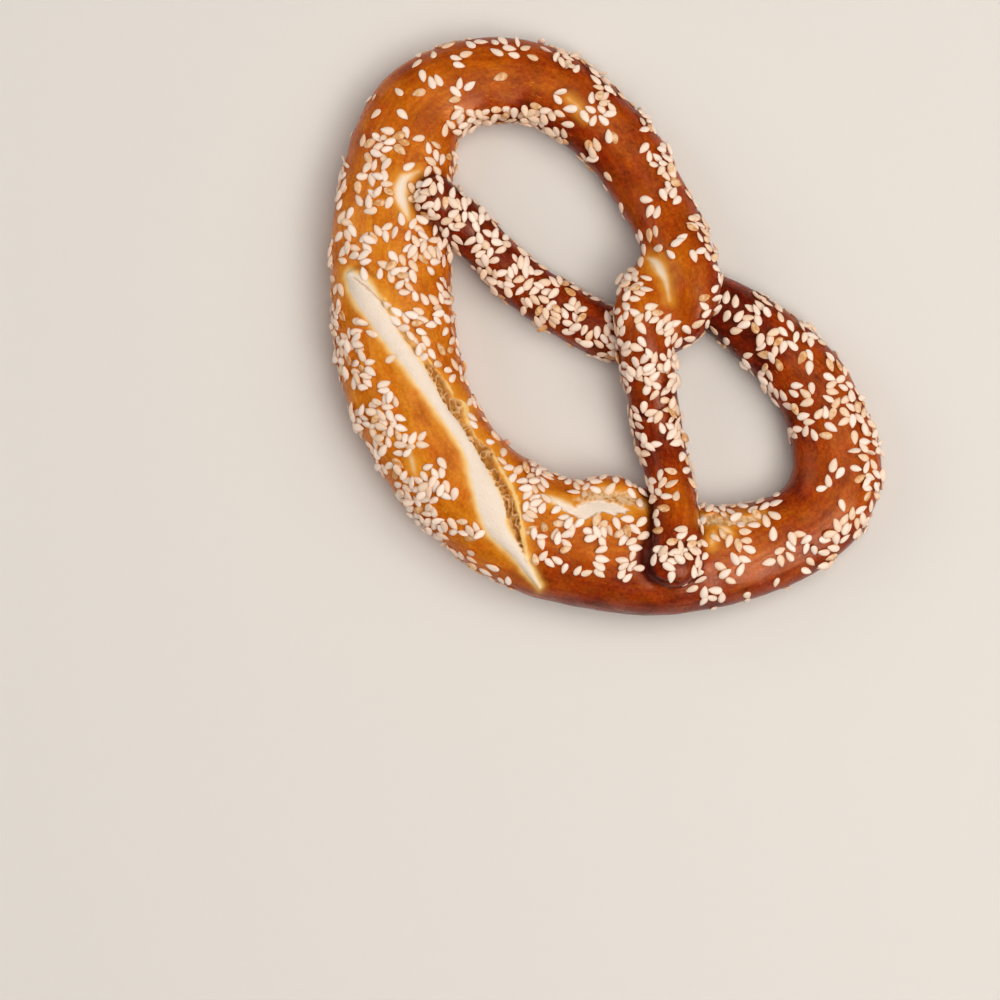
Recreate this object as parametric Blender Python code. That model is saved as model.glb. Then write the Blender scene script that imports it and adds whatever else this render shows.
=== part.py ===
"""Sesame pretzel: one rope of dough, about 165 x 110 x 26 mm, lying on its flat baked underside.

Seen from above with the belly at -Y and the two loops left (-X) and right (+X):
the rope starts at the left end, which lies on the belly's left shoulder, runs up the left
arm into the twist, round the left loop, along the belly, round the right loop, back
through the twist and down the right arm to the right end on the belly's right shoulder.
The belly is slashed open along its top, and sesame seeds are baked on.
"""

import math
import random

import bmesh
import bpy
from mathutils import Matrix, Vector, noise
from mathutils.bvhtree import BVHTree

MM = 0.001

# The rope's stations: x, y and z of its centre, then its width and its height, in mm.
# The centre is a little lower than half the height, so the board flattens the underside.
LEFT_ARM = [
    (-50.4, -1.1, 17.0, 10.8, 10.0),
    (-45.5, 0.7, 14.6, 11.5, 10.6),
    (-31.8, 2.5, 9.0, 11.8, 11.4),
    (-17.1, 5.1, 6.4, 12.8, 12.2),
    (-4.4, 9.3, 6.0, 13.0, 12.5),
    (4.5, 14.3, 6.0, 13.0, 12.5),
]
LEFT_ROPE_OVER = [
    (9.9, 21.8, 9.0, 13.0, 12.8),
    (10.8, 30.4, 13.6, 13.6, 13.0),
    (6.2, 36.4, 15.8, 14.4, 13.4),
]
LEFT_LOOP = [
    (-3.5, 39.8, 11.8, 16.5, 14.4),
    (-15.9, 42.7, 7.6, 17.0, 15.0),
    (-28.0, 44.5, 6.7, 18.2, 15.4),
    (-42.9, 43.6, 6.7, 18.8, 15.6),
    (-55.4, 39.3, 6.8, 20.0, 16.0),
    (-63.9, 31.7, 7.0, 21.3, 16.5),
    (-69.1, 22.5, 7.3, 22.0, 17.2),
    (-70.5, 12.8, 7.8, 23.8, 18.4),
    (-66.9, 3.6, 8.6, 26.0, 20.0),
]
BELLY = [
    (-58.6, -6.0, 9.4, 28.5, 21.6),
    (-47.8, -16.4, 10.0, 30.2, 23.0),
    (-36.9, -24.8, 10.2, 30.0, 23.4),
    (-26.3, -31.5, 10.2, 30.0, 23.6),
    (-15.3, -36.4, 10.2, 29.4, 23.6),
    (-2.1, -38.9, 10.2, 29.6, 23.6),
    (11.6, -38.7, 10.2, 29.4, 23.6),
    (23.9, -35.5, 10.2, 30.0, 23.6),
    (35.2, -29.2, 10.2, 31.0, 23.4),
    (45.0, -21.1, 10.0, 31.2, 23.0),
    (54.7, -12.2, 9.4, 29.0, 21.8),
]
RIGHT_LOOP = [
    (62.7, -1.6, 8.6, 25.5, 20.0),
    (68.0, 8.5, 7.6, 23.2, 18.0),
    (71.2, 18.8, 7.2, 22.0, 17.2),
    (70.5, 28.4, 7.2, 22.2, 17.2),
    (65.7, 35.5, 7.1, 22.2, 17.0),
    (58.5, 40.1, 7.0, 21.0, 16.6),
    (51.5, 42.5, 6.8, 20.0, 16.2),
    (42.4, 44.1, 6.6, 19.5, 15.8),
    (31.6, 43.5, 6.4, 17.5, 15.0),
    (20.5, 40.9, 6.1, 15.5, 14.0),
]
RIGHT_ROPE_UNDER = [
    (12.7, 37.9, 6.0, 13.8, 13.2),
    (5.2, 34.3, 6.2, 13.5, 12.8),
    (0.3, 28.6, 10.5, 13.5, 12.8),
    (2.3, 23.5, 15.0, 13.5, 12.8),
    (8.2, 19.0, 16.2, 13.5, 12.6),
]
RIGHT_ARM = [
    (16.2, 14.1, 13.0, 13.0, 12.2),
    (25.1, 9.2, 9.0, 12.2, 11.8),
    (33.9, 5.0, 8.6, 11.8, 11.5),
    (42.9, 0.2, 12.5, 11.5, 11.2),
    (50.2, -4.7, 18.0, 12.5, 11.2),
    (55.3, -9.1, 20.3, 13.5, 11.5),
]
ROUTE = (
    LEFT_ARM + LEFT_ROPE_OVER + LEFT_LOOP + BELLY + RIGHT_LOOP + RIGHT_ROPE_UNDER + RIGHT_ARM
)
# Where the two ropes press together in the twist, their dough has fused.
TWIST_CORE = [
    (6.8, 35.9, 11.0, 7.0, 8.0),
    (6.3, 31.4, 11.0, 9.0, 10.0),
    (6.1, 26.9, 11.0, 9.0, 10.0),
    (6.1, 22.4, 11.0, 9.0, 10.0),
    (6.8, 18.4, 11.0, 7.0, 8.0),
]
ROPE_SIDES = 18
ROPE_RING_SPACING = 5.5
LUMP_SIZE = 14.0
LUMP_HEIGHT = 0.35
UNDERSIDE_DEPTH = 20.0

# The slash along the belly: x, y and width in mm, of the smooth strip of crumb that has
# swelled out of it, of the crevice beside the strip, and of the crust's raised lip.
CRUMB_STRIP = [
    (-46.7, -27.7, 1.0),
    (-39.7, -28.6, 5.2),
    (-30.2, -29.0, 5.6),
    (-22.2, -30.0, 5.0),
    (-13.2, -31.0, 4.6),
    (-4.7, -31.7, 4.8),
    (3.8, -33.2, 6.2),
    (11.8, -36.1, 8.2),
    (19.3, -38.7, 8.8),
    (27.3, -39.7, 6.0),
    (34.8, -39.1, 3.0),
    (39.3, -39.7, 1.0),
]
CRUMB_HEIGHT = 1.8
CREVICE = [
    (-19.7, -26.5, 0.6),
    (-10.2, -27.3, 2.6),
    (-1.2, -28.3, 3.0),
    (8.3, -30.3, 3.2),
    (17.3, -33.1, 3.6),
    (26.3, -35.7, 3.4),
    (31.8, -37.3, 0.8),
]
CREVICE_DEPTH = 2.4
CRUST_LIP = [
    (-18.7, -24.7, 0.8),
    (-9.7, -24.9, 1.8),
    (-0.7, -25.9, 2.0),
    (9.3, -27.7, 2.0),
    (18.3, -30.3, 2.2),
    (26.8, -33.3, 2.0),
    (33.3, -36.1, 0.8),
]
LIP_HEIGHT = 1.4
# The short tear beside the right end, and the crumb that shows in it.
END_TEAR = [
    (27.3, -22.9, 1.0),
    (30.7, -20.1, 3.2),
    (33.5, -15.7, 3.8),
    (37.3, -12.1, 3.4),
    (41.1, -9.9, 1.0),
]
TEAR_DEPTH = 1.4
# The crumb that has burst out of the belly's inner side below the tear.
TEAR_BULGE = [
    (27.8, -18.6, 9.5, 4.0, 8.0),
    (30.9, -14.3, 9.5, 6.5, 12.0),
    (34.5, -10.1, 9.5, 6.5, 12.0),
    (38.5, -6.7, 9.5, 4.0, 8.0),
]
STRIP_SIDES = 8
STRIP_RING_SPACING = 4.0

# Sesame: a flat drop, its size in mm.
SEED_LENGTH = 3.2
SEED_WIDTH = 2.0
SEED_THICKNESS = 1.0
SEED_SIDES = 5
SEED_RINGS = 3
SEED_TAPER = 0.45
SEED_SMALLEST = 0.88
SEED_LARGEST = 1.08
SEED_LIFT = 0.15
SEED_SPACING = 2.9
SEED_LOWEST = 3.0
SEED_CLEARANCE = 1.4
SEED_TRIES = 60

# Where the seeds lie: first and last station, inner and outer edge of the stretch across
# the rope (-1 is the side that faces the holes or the twist's left, 1 the other), and how
# many there are.
SEED_ZONES = {
    "left_end": (0.0, 1.4, -0.9, 0.9, 7),
    "left_arm": (1.4, 5.6, -0.95, 0.95, 24),
    "twist": (6.0, 9.5, -0.2, 0.95, 7),
    "left_loop_right_limb": (9.5, 12.5, 0.1, 0.98, 13),
    "left_loop_hole_edge": (11.0, 15.0, -0.95, -0.45, 8),
    "left_loop_crown": (11.5, 16.0, -0.4, 0.9, 6),
    "left_shoulder": (15.6, 18.0, -0.8, 0.9, 10),
    "belly_inner_left": (18.0, 22.0, -0.95, -0.2, 17),
    "belly_outer_left": (19.6, 24.6, 0.35, 0.9, 17),
    "belly_right": (25.0, 28.6, -0.7, 0.3, 8),
    "right_shoulder": (28.6, 33.0, -0.5, 0.9, 10),
    "right_loop_top": (33.0, 38.0, -0.6, 0.95, 18),
    "right_twist": (38.0, 42.5, -0.9, 0.9, 6),
    "right_arm": (43.0, 46.4, -0.95, 0.95, 15),
    "right_end": (47.4, 49.0, -0.8, 0.8, 7),
}
RANDOM_SEED = 11

CRUST_COLOUR = (0.36, 0.10, 0.015, 1.0)
CRUMB_COLOUR = (0.83, 0.70, 0.48, 1.0)
SESAME_COLOUR = (0.80, 0.62, 0.40, 1.0)
CRUST, CRUMB, SESAME = 0, 1, 2


def start_clean():
    """Empty the file, and make a collection for the pretzel and one for its helpers."""
    for old in list(bpy.data.objects):
        bpy.data.objects.remove(old, do_unlink=True)
    made = []
    for name in ("Sesame_pretzel", "Helpers"):
        collection = bpy.data.collections.new(name)
        bpy.context.scene.collection.children.link(collection)
        made.append(collection)
    return made


def make_material(name, colour, roughness):
    material = bpy.data.materials.new(name)
    material.use_nodes = True
    shader = material.node_tree.nodes["Principled BSDF"]
    shader.inputs["Base Color"].default_value = colour
    shader.inputs["Roughness"].default_value = roughness
    shader.inputs["Metallic"].default_value = 0.0
    material.diffuse_color = colour
    return material


def read_along(stations, place):
    """The values at a place along a list of stations, on a smooth Catmull-Rom curve."""
    last = len(stations) - 1
    first = min(int(place), last - 1)
    t = place - first
    before, start, end, after = (
        stations[min(max(first + step, 0), last)] for step in (-1, 0, 1, 2)
    )
    return [
        0.5
        * (
            2 * b
            + (c - a) * t
            + (2 * a - 5 * b + 4 * c - d) * t * t
            + (3 * b - a - 3 * c + d) * t * t * t
        )
        for a, b, c, d in zip(before, start, end, after)
    ]


def frame_along(stations, place):
    """The rope's centre, its direction, and the outward and upward directions there."""
    last = len(stations) - 1
    behind = Vector(read_along(stations, max(place - 0.02, 0))[:3])
    ahead = Vector(read_along(stations, min(place + 0.02, last))[:3])
    along = (ahead - behind).normalized()
    side = along.cross(Vector((0, 0, 1))).normalized()
    return Vector(read_along(stations, place)[:3]), along, side, side.cross(along)


def even_places(stations, spacing):
    """Places along the stations that lie about the given distance apart."""
    fine = [step / 20 for step in range(20 * (len(stations) - 1) + 1)]
    points = [Vector(read_along(stations, place)[:3]) for place in fine]
    run = [0.0]
    for a, b in zip(points, points[1:]):
        run.append(run[-1] + (b - a).length)
    count = round(run[-1] / spacing)
    places = []
    step = 0
    for ring in range(count + 1):
        wanted = run[-1] * ring / count
        while step < len(run) - 2 and run[step + 1] < wanted:
            step += 1
        part = (wanted - run[step]) / (run[step + 1] - run[step])
        places.append(fine[step] + part * (fine[step + 1] - fine[step]))
    return places


def loft(name, stations, sides, spacing, lump=0.0):
    """A closed tube of oval rings through the stations, rounded at both ends, in mm."""
    places = even_places(stations, spacing)
    rings = []
    for place in places:
        centre, along, side, up = frame_along(stations, place)
        width, height = read_along(stations, place)[3:]
        rings.append((centre, side, up, width / 2, height / 2))
    for end, inner in ((places[0], -1), (places[-1], 1)):
        centre, along, side, up = frame_along(stations, end)
        width, height = read_along(stations, end)[3:]
        for turn in (25, 50, 72):
            reach = math.sin(math.radians(turn)) * width / 2
            shrink = math.cos(math.radians(turn))
            cap = (centre + along * reach * inner, side, up, shrink * width / 2, shrink * height / 2)
            rings.insert(len(rings) if inner > 0 else 0, cap)
    mesh = bmesh.new()
    loops = []
    for centre, side, up, half_width, half_height in rings:
        loop = []
        for corner in range(sides):
            angle = 2 * math.pi * (corner + 0.5) / sides
            spoke = side * math.cos(angle) * half_width + up * math.sin(angle) * half_height
            swell = 1 + lump * noise.noise((centre + spoke) / LUMP_SIZE) / half_height
            loop.append(mesh.verts.new(centre + spoke * swell))
        loops.append(loop)
    for near, far in zip(loops, loops[1:]):
        for corner in range(sides):
            after = (corner + 1) % sides
            mesh.faces.new((near[corner], far[corner], far[after], near[after]))
    mesh.faces.new(loops[0])
    mesh.faces.new(reversed(loops[-1]))
    bmesh.ops.recalc_face_normals(mesh, faces=mesh.faces[:])
    return to_object(name, mesh)


def to_object(name, mesh):
    """Write a bmesh made in mm into an object in metres."""
    bmesh.ops.scale(mesh, vec=Vector((MM, MM, MM)), verts=mesh.verts[:])
    data = bpy.data.meshes.new(name)
    mesh.to_mesh(data)
    mesh.free()
    for material in MATERIALS:
        data.materials.append(material)
    made = bpy.data.objects.new(name, data)
    HELPERS.objects.link(made)
    made.hide_render = True
    made.display_type = "WIRE"
    return made


def paint(made, slot):
    for face in made.data.polygons:
        face.material_index = slot


def join_or_cut(body, tool, operation, solver="EXACT", crosses_itself=False):
    """Apply one Boolean to the body, with an object or a collection, and drop the tool."""
    step = body.modifiers.new("Shape", "BOOLEAN")
    step.operation = operation
    step.solver = solver
    step.use_self = crosses_itself
    if isinstance(tool, bpy.types.Collection):
        step.operand_type = "COLLECTION"
        step.collection = tool
    else:
        step.object = tool
    bpy.context.view_layer.update()
    graph = bpy.context.evaluated_depsgraph_get()
    shaped = bpy.data.meshes.new_from_object(body.evaluated_get(graph))
    body.modifiers.clear()
    body.data = shaped
    spent = list(tool.objects) if isinstance(tool, bpy.types.Collection) else [tool]
    for old in spent:
        bpy.data.objects.remove(old, do_unlink=True)


def surface_tree(body):
    """The body's surface, in mm, for finding what lies on it."""
    mesh = bmesh.new()
    mesh.from_mesh(body.data)
    bmesh.ops.scale(mesh, vec=Vector((1 / MM, 1 / MM, 1 / MM)), verts=mesh.verts[:])
    tree = BVHTree.FromBMesh(mesh)
    mesh.free()
    return tree


def laid_on(tree, strip, sink, height):
    """Give a strip of (x, y, width) the height of the surface under it."""
    stations = []
    for x, y, width in strip:
        found = tree.ray_cast(Vector((x, y, 60)), Vector((0, 0, -1)))[0]
        thick = height * 2 * min(1.0, width / 2.5)
        stations.append((x, y, found.z - sink, width, thick))
    return stations


def make_board_block():
    """A block whose top is the board that flattened the underside."""
    mesh = bmesh.new()
    bmesh.ops.create_cube(mesh, size=1.0)
    bmesh.ops.scale(mesh, vec=Vector((300, 300, UNDERSIDE_DEPTH)), verts=mesh.verts[:])
    bmesh.ops.translate(mesh, vec=Vector((0, 0, -UNDERSIDE_DEPTH / 2)), verts=mesh.verts[:])
    return to_object("Board_block", mesh)


def make_slash(dough):
    """Open the belly: a swollen strip of crumb, a crevice beside it, and the crust's lip."""
    tree = surface_tree(dough)
    strip = loft(
        "Crumb_strip",
        laid_on(tree, CRUMB_STRIP, 0.8, CRUMB_HEIGHT),
        STRIP_SIDES,
        STRIP_RING_SPACING,
    )
    paint(strip, CRUMB)
    lip = loft(
        "Crust_lip", laid_on(tree, CRUST_LIP, 0.3, LIP_HEIGHT), STRIP_SIDES, STRIP_RING_SPACING
    )
    crevice = loft(
        "Crevice", laid_on(tree, CREVICE, 0.0, CREVICE_DEPTH), STRIP_SIDES, STRIP_RING_SPACING
    )
    tear = loft(
        "End_tear", laid_on(tree, END_TEAR, 0.0, TEAR_DEPTH), STRIP_SIDES, STRIP_RING_SPACING
    )
    paint(crevice, CRUMB)
    paint(tear, CRUMB)
    bulge = loft("Tear_bulge", TEAR_BULGE, STRIP_SIDES, STRIP_RING_SPACING)
    paint(bulge, CRUMB)
    join_or_cut(dough, bulge, "UNION")
    join_or_cut(dough, strip, "UNION")
    join_or_cut(dough, lip, "UNION")
    join_or_cut(dough, crevice, "DIFFERENCE")
    join_or_cut(dough, tear, "DIFFERENCE")


def make_seed(place):
    """One drop-shaped seed at a place given by a matrix in mm."""
    mesh = bmesh.new()
    bmesh.ops.create_uvsphere(mesh, u_segments=SEED_SIDES, v_segments=SEED_RINGS, radius=0.5)
    for corner in mesh.verts:
        point = corner.co.zxy
        narrow = 1 - SEED_TAPER * max(point.x * 2, 0)
        corner.co = Vector(
            (
                point.x * SEED_LENGTH,
                point.y * SEED_WIDTH * narrow,
                point.z * SEED_THICKNESS * narrow,
            )
        )
    bmesh.ops.transform(mesh, matrix=place, verts=mesh.verts[:])
    seed = to_object("Seed", mesh)
    paint(seed, SESAME)
    return seed


def near_strip(point, strip, clearance):
    """Whether a point lies over a strip of bare crumb."""
    for a, b in zip(strip, strip[1:]):
        start = Vector(a[:2])
        run = Vector(b[:2]) - start
        part = min(max((point.xy - start).dot(run) / run.length_squared, 0), 1)
        width = a[2] + (b[2] - a[2]) * part
        if (point.xy - start - run * part).length < width / 2 + clearance:
            return True
    return False


def seed_places(tree, chance):
    """Matrices in mm for all the seeds, drawn zone by zone."""
    bare = (CRUMB_STRIP, CREVICE, CRUST_LIP, END_TEAR)
    places = []
    for first, last, inner, outer, count in SEED_ZONES.values():
        placed = 0
        for _ in range(count * SEED_TRIES):
            if placed == count:
                break
            station = chance.uniform(first, last)
            across = chance.uniform(inner, outer)
            spin = Matrix.Rotation(chance.uniform(0, 2 * math.pi), 4, "Z")
            size = Matrix.Scale(chance.uniform(SEED_SMALLEST, SEED_LARGEST), 4)
            centre, along, side, up = frame_along(ROUTE, station)
            width, height = read_along(ROUTE, station)[3:]
            out = side * across * width / 2 + up * math.sqrt(1 - across**2) * height / 2
            point, normal, _, _ = tree.ray_cast(centre + out * 1.3, -out)
            if point is None or (point - centre - out).length > 2.0:
                continue
            if point.z < SEED_LOWEST or normal.z < 0.1:
                continue
            if any(near_strip(point, strip, SEED_CLEARANCE) for strip in bare):
                continue
            if any((point - other.translation).length < SEED_SPACING for other in places):
                continue
            turn = normal.to_track_quat("Z", "Y").to_matrix().to_4x4()
            lift = Matrix.Translation(point + normal * SEED_LIFT)
            places.append(lift @ turn @ spin @ size)
            placed += 1
    return places


def make_pretzel():
    dough = loft("pretzel", ROUTE, ROPE_SIDES, ROPE_RING_SPACING, LUMP_HEIGHT)
    core = loft("Twist_core", TWIST_CORE, STRIP_SIDES, STRIP_RING_SPACING)
    join_or_cut(dough, core, "UNION", crosses_itself=True)
    join_or_cut(dough, make_board_block(), "DIFFERENCE")
    make_slash(dough)
    for place in seed_places(surface_tree(dough), random.Random(RANDOM_SEED)):
        make_seed(place)
    HELPERS.objects.unlink(dough)
    PRETZEL.objects.link(dough)
    join_or_cut(dough, HELPERS, "UNION", solver="MANIFOLD")
    dough.hide_render = False
    dough.display_type = "TEXTURED"
    dough.data.shade_smooth()
    dough.data.set_sharp_from_angle(angle=math.radians(50))
    return dough


PRETZEL, HELPERS = start_clean()
HELPERS.hide_render = True
MATERIALS = [
    make_material("Baked_crust", CRUST_COLOUR, 0.42),
    make_material("Bread_crumb", CRUMB_COLOUR, 0.85),
    make_material("Sesame", SESAME_COLOUR, 0.55),
]
make_pretzel()
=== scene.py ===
# %% [markdown]
# # A sesame pretzel
#
# One rope of dough, rolled thin at both ends and fat in the middle, is crossed over itself
# twice, dipped in lye, slashed along the belly, strewn with sesame and baked. The lye makes the
# thin, shiny, red-brown crust. The slash opens in the oven and shows the pale crumb.
#
# The dough is one piece with one smooth skin, and the seeds are a second piece that lies on it.
# Both follow the rope's route, so the route comes first. Lengths are in mm until a mesh is
# made, because dough and seeds are easier to think of in mm than in metres.

import math
import random

import bmesh
import bpy
import numpy as np
from mathutils import Matrix, Vector, noise
from mathutils.bvhtree import BVHTree


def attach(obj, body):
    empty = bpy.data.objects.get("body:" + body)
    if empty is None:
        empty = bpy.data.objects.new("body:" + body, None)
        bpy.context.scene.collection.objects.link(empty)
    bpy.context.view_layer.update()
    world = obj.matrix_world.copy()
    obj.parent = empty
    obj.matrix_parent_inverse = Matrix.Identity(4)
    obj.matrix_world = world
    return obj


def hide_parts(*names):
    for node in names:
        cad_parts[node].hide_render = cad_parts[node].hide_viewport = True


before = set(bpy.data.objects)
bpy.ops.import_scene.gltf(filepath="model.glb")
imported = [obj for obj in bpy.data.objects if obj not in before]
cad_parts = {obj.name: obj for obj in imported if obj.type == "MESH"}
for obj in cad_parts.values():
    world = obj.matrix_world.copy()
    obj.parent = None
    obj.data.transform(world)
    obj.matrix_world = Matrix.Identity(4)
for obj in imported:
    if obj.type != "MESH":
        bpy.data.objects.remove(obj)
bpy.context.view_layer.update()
MM = 0.001

# %% [markdown]
# ## The camera
#
# The picture is taken from straight above. It is 250 mm wide, and it is turned 51 degrees
# against the pretzel's long axis. A long lens from far away keeps the tall rope from leaning
# outwards, as it would under a wide lens close by.

# %% The camera
PICTURE_WIDTH = 250.0
PICTURE_CENTRE = (17.96, -34.57)
PICTURE_TURN = 51.0
LENS = 135.0
SENSOR = 36.0
FOCUS_HEIGHT = 10.0
NEAREST_SEEN = 50.0


def new_object(name, data):
    """A new object that holds the data, put in the scene."""
    made = bpy.data.objects.new(name, data)
    bpy.context.scene.collection.objects.link(made)
    return made


def make_camera():
    data = bpy.data.cameras.new("Camera")
    data.lens = LENS
    data.sensor_width = SENSOR
    data.clip_start = NEAREST_SEEN * MM
    camera = new_object("Camera", data)
    height = PICTURE_WIDTH * LENS / SENSOR + FOCUS_HEIGHT
    camera.location = (PICTURE_CENTRE[0] * MM, PICTURE_CENTRE[1] * MM, height * MM)
    camera.rotation_euler = (0, 0, math.radians(PICTURE_TURN))
    bpy.context.scene.camera = camera
    return camera


camera = make_camera()
print("camera height:", round(camera.location.z, 3), "m")

# %% [markdown]
# ## The rope's route
#
# A rope is easiest to describe by stations: where its centre is, how wide it is and how high.
# The list starts at the left end, which lies on the belly. It follows the dough through the
# left arm, the twist, the left loop, the belly, the right loop, the twist again and the right
# arm. A smooth curve through the stations gives the rope everywhere in between. Places and
# widths were read off the photo, in pixels, and turned into mm. Heights can't be seen
# from above, so they are guessed.

# %% Stations along the rope: x, y and z of the centre, width and height, in mm
LEFT_ARM = [
    (-50.4, -0.1, 17.0, 11.4, 10.0),
    (-45.5, 0.7, 14.6, 11.8, 10.6),
    (-31.8, 2.5, 9.0, 11.8, 11.4),
    (-17.1, 5.1, 6.4, 12.8, 12.2),
    (-4.4, 9.3, 6.0, 13.0, 12.5),
    (4.5, 14.3, 6.0, 13.0, 12.5),
]
LEFT_ROPE_OVER = [
    (9.9, 21.8, 9.0, 13.0, 12.8),
    (10.8, 30.4, 13.6, 13.6, 13.0),
    (6.2, 36.4, 15.8, 14.4, 13.4),
]
LEFT_LOOP = [
    (-3.5, 39.8, 11.8, 16.5, 14.4),
    (-15.9, 42.7, 7.6, 17.0, 15.0),
    (-28.0, 44.5, 6.7, 18.2, 15.4),
    (-42.9, 43.6, 6.7, 18.8, 15.6),
    (-55.4, 39.3, 6.8, 20.0, 16.0),
    (-63.9, 31.7, 7.0, 21.3, 16.5),
    (-69.1, 22.5, 7.3, 22.0, 17.2),
    (-70.5, 12.8, 7.8, 23.8, 18.4),
    (-66.9, 3.6, 8.6, 26.0, 20.0),
]
BELLY = [
    (-58.6, -6.0, 9.4, 28.5, 21.6),
    (-47.8, -16.4, 10.0, 30.2, 23.0),
    (-36.9, -24.8, 10.2, 30.0, 23.4),
    (-26.3, -31.5, 10.2, 30.0, 23.6),
    (-15.3, -36.4, 10.2, 29.4, 23.6),
    (-2.1, -38.9, 10.2, 29.6, 23.6),
    (11.6, -38.7, 10.2, 29.4, 23.6),
    (23.9, -35.5, 10.2, 30.0, 23.6),
    (35.2, -29.2, 10.2, 31.0, 23.4),
    (45.0, -21.1, 10.0, 31.2, 23.0),
    (54.7, -12.2, 9.4, 29.0, 21.8),
]
RIGHT_LOOP = [
    (62.7, -1.6, 8.6, 25.5, 20.0),
    (68.0, 8.5, 7.6, 23.2, 18.0),
    (71.2, 18.8, 7.2, 22.0, 17.2),
    (70.5, 28.4, 7.2, 22.2, 17.2),
    (65.7, 35.5, 7.1, 22.2, 17.0),
    (58.5, 40.1, 7.0, 21.0, 16.6),
    (51.5, 42.5, 6.8, 20.0, 16.2),
    (42.4, 44.1, 6.6, 19.5, 15.8),
    (31.6, 43.5, 6.4, 17.5, 15.0),
    (20.5, 40.9, 6.1, 15.5, 14.0),
]
RIGHT_ROPE_UNDER = [
    (12.7, 37.9, 6.0, 13.8, 13.2),
    (5.2, 34.3, 6.2, 13.5, 12.8),
    (0.3, 28.6, 10.5, 13.5, 12.8),
    (2.3, 23.5, 15.0, 13.5, 12.8),
    (8.2, 19.0, 16.2, 13.5, 12.6),
]
RIGHT_ARM = [
    (16.2, 14.1, 13.0, 13.0, 12.2),
    (25.1, 9.2, 9.0, 12.2, 11.8),
    (33.9, 5.0, 8.6, 11.8, 11.5),
    (42.9, 0.2, 12.5, 11.5, 11.2),
    (50.2, -4.7, 17.4, 12.5, 11.2),
    (55.5, -10.4, 19.4, 15.5, 11.8),
]
STATIONS = np.array(
    LEFT_ARM + LEFT_ROPE_OVER + LEFT_LOOP + BELLY + RIGHT_LOOP + RIGHT_ROPE_UNDER + RIGHT_ARM
)
print(len(STATIONS), "stations")

# %% [markdown]
# ## Reading the route
#
# A Catmull-Rom curve passes through every station, so the list stays the one place where the
# shape is set. numpy reads many places at once, which the fine skin needs.

# %% Reading many places along the rope
LOOK_AHEAD = 0.02
STEPS_FROM_STATION_TO_STATION = 40


def read_along(stations, places):
    """The stations' values at the places, on a smooth curve through them."""
    last = len(stations) - 1
    first = np.clip(places.astype(int), 0, last - 1)
    t = (places - first)[:, None]
    a, b, c, d = (stations[np.clip(first + step, 0, last)] for step in (-1, 0, 1, 2))
    bend = (2 * a - 5 * b + 4 * c - d) * t**2 + (3 * b - a - 3 * c + d) * t**3
    return 0.5 * (2 * b + (c - a) * t + bend)


def unit(vectors):
    return vectors / np.maximum(np.linalg.norm(vectors, axis=-1, keepdims=True), 1e-9)


def directions(stations, places):
    """Along the rope, sideways out of it, and up, at the places."""
    last = len(stations) - 1
    ahead = read_along(stations, np.minimum(places + LOOK_AHEAD, last))
    behind = read_along(stations, np.maximum(places - LOOK_AHEAD, 0))
    along = unit((ahead - behind)[:, :3])
    side = unit(np.cross(along, (0, 0, 1)))
    return along, side, np.cross(side, along)


def even_places(stations, spacing):
    """Places one spacing apart along the rope, and how far along each is, in mm."""
    steps = STEPS_FROM_STATION_TO_STATION * len(stations)
    fine = np.linspace(0, len(stations) - 1, steps)
    points = read_along(stations, fine)[:, :3]
    run = np.concatenate([[0], np.cumsum(np.linalg.norm(np.diff(points, axis=0), axis=1))])
    wanted = np.linspace(0, run[-1], round(run[-1] / spacing) + 1)
    return np.interp(wanted, run, fine), wanted


print("rope length:", round(even_places(STATIONS, 1.0)[1][-1]), "mm")

# %% [markdown]
# ## Tubes
#
# Oval rings on the stations make a tube. Besides the rope there are three short helpers: a core
# and a web that fill the twist where its two ropes press together, and the lump of crumb that
# has burst out of the belly beside the right end.

# %% Make a tube of oval rings
TWIST_CORE = [
    (6.6, 35.7, 11.0, 7.0, 8.0),
    (6.1, 31.2, 11.0, 9.0, 10.0),
    (5.9, 26.7, 11.0, 9.0, 10.0),
    (5.9, 22.2, 11.0, 9.0, 10.0),
    (6.6, 18.2, 11.0, 7.0, 8.0),
]
TWIST_WEB = [
    (-5.5, 31.6, 10.5, 5.0, 6.0),
    (-1.0, 31.8, 13.0, 6.5, 7.0),
    (3.5, 30.2, 15.0, 7.0, 7.0),
    (7.4, 27.4, 15.8, 7.0, 7.0),
    (11.0, 24.2, 14.6, 6.5, 7.0),
    (14.0, 21.6, 11.5, 5.0, 6.0),
]
TEAR_BULGE = [
    (27.8, -18.6, 9.5, 4.0, 8.0),
    (30.9, -14.3, 9.5, 6.5, 12.0),
    (34.5, -10.1, 9.5, 6.5, 12.0),
    (38.5, -6.7, 9.5, 4.0, 8.0),
]
RING_SPACING = 1.0
RING_SIDES = 56
CAP_TURNS = (15, 30, 45, 60, 75, 86)
CAP_BLUNTNESS = 0.8


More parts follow.
